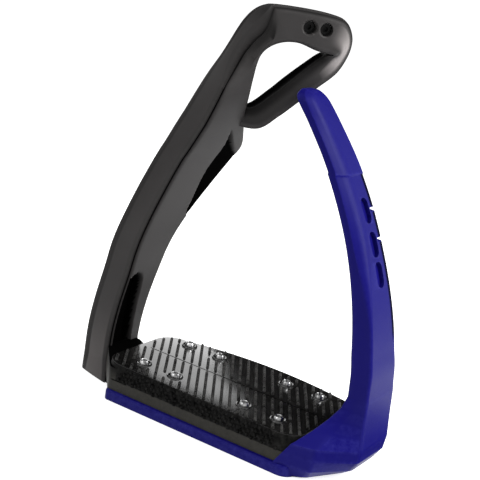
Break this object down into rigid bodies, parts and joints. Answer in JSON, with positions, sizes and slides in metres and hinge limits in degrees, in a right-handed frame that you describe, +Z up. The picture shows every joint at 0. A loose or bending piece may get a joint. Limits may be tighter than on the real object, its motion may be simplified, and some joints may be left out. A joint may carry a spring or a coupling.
{
  "type": "safety stirrup iron",
  "caption": "Safety stirrup iron with a stiff black inner arm and slanted leather eye, a studded tread and a blue outer arm that springs open to free the foot.",
  "frame": {"origin": "on the sole, midway between the two arms and in the middle of the tread's depth", "axes": "+X from the inner arm to the flexible outer arm, +Y from the straight edge of the tread to its bowed edge, +Z up from the sole to the eye"},
  "size_m": [0.1475, 0.0573, 0.1806],
  "materials": {
    "frame_black": "satin fibre-filled polymer",
    "tread_black": "satin, serrated",
    "stud_steel": "bright",
    "pan_blue": "satin gloss",
    "arm_blue": "satin gloss",
    "spring_steel": "ground",
    "plain_steel": "brushed",
    "screw_steel": "zinc plated",
    "screw_black": "black oxide",
    "insert_brass": "knurled"
  },
  "bodies": {
    "frame": {"arm_frame": "frame_black", "tread_plate": "tread_black", "tread_studs": "stud_steel", "sole_pan": "pan_blue", "spring_blade": "spring_steel", "blade_clamp": "plain_steel", "clamp_screws": "screw_steel", "clamp_inserts": "insert_brass", "sole_screws": "screw_steel", "sole_inserts": "insert_brass", "eye_core": "plain_steel", "eye_screws": "screw_black"},
    "outer_arm": {"outer_arm": "arm_blue"}
  },
  "joints": [
    {"name": "outer_arm_flex", "type": "hinge", "parent": "frame", "child": "outer_arm", "pos_m": [0.0646, 0, 0.036], "axis": [0, 1, 0], "range_deg": [0, 40], "stiffness_Nm_per_rad": 12, "deforming": ["spring_blade"]}
  ]
}
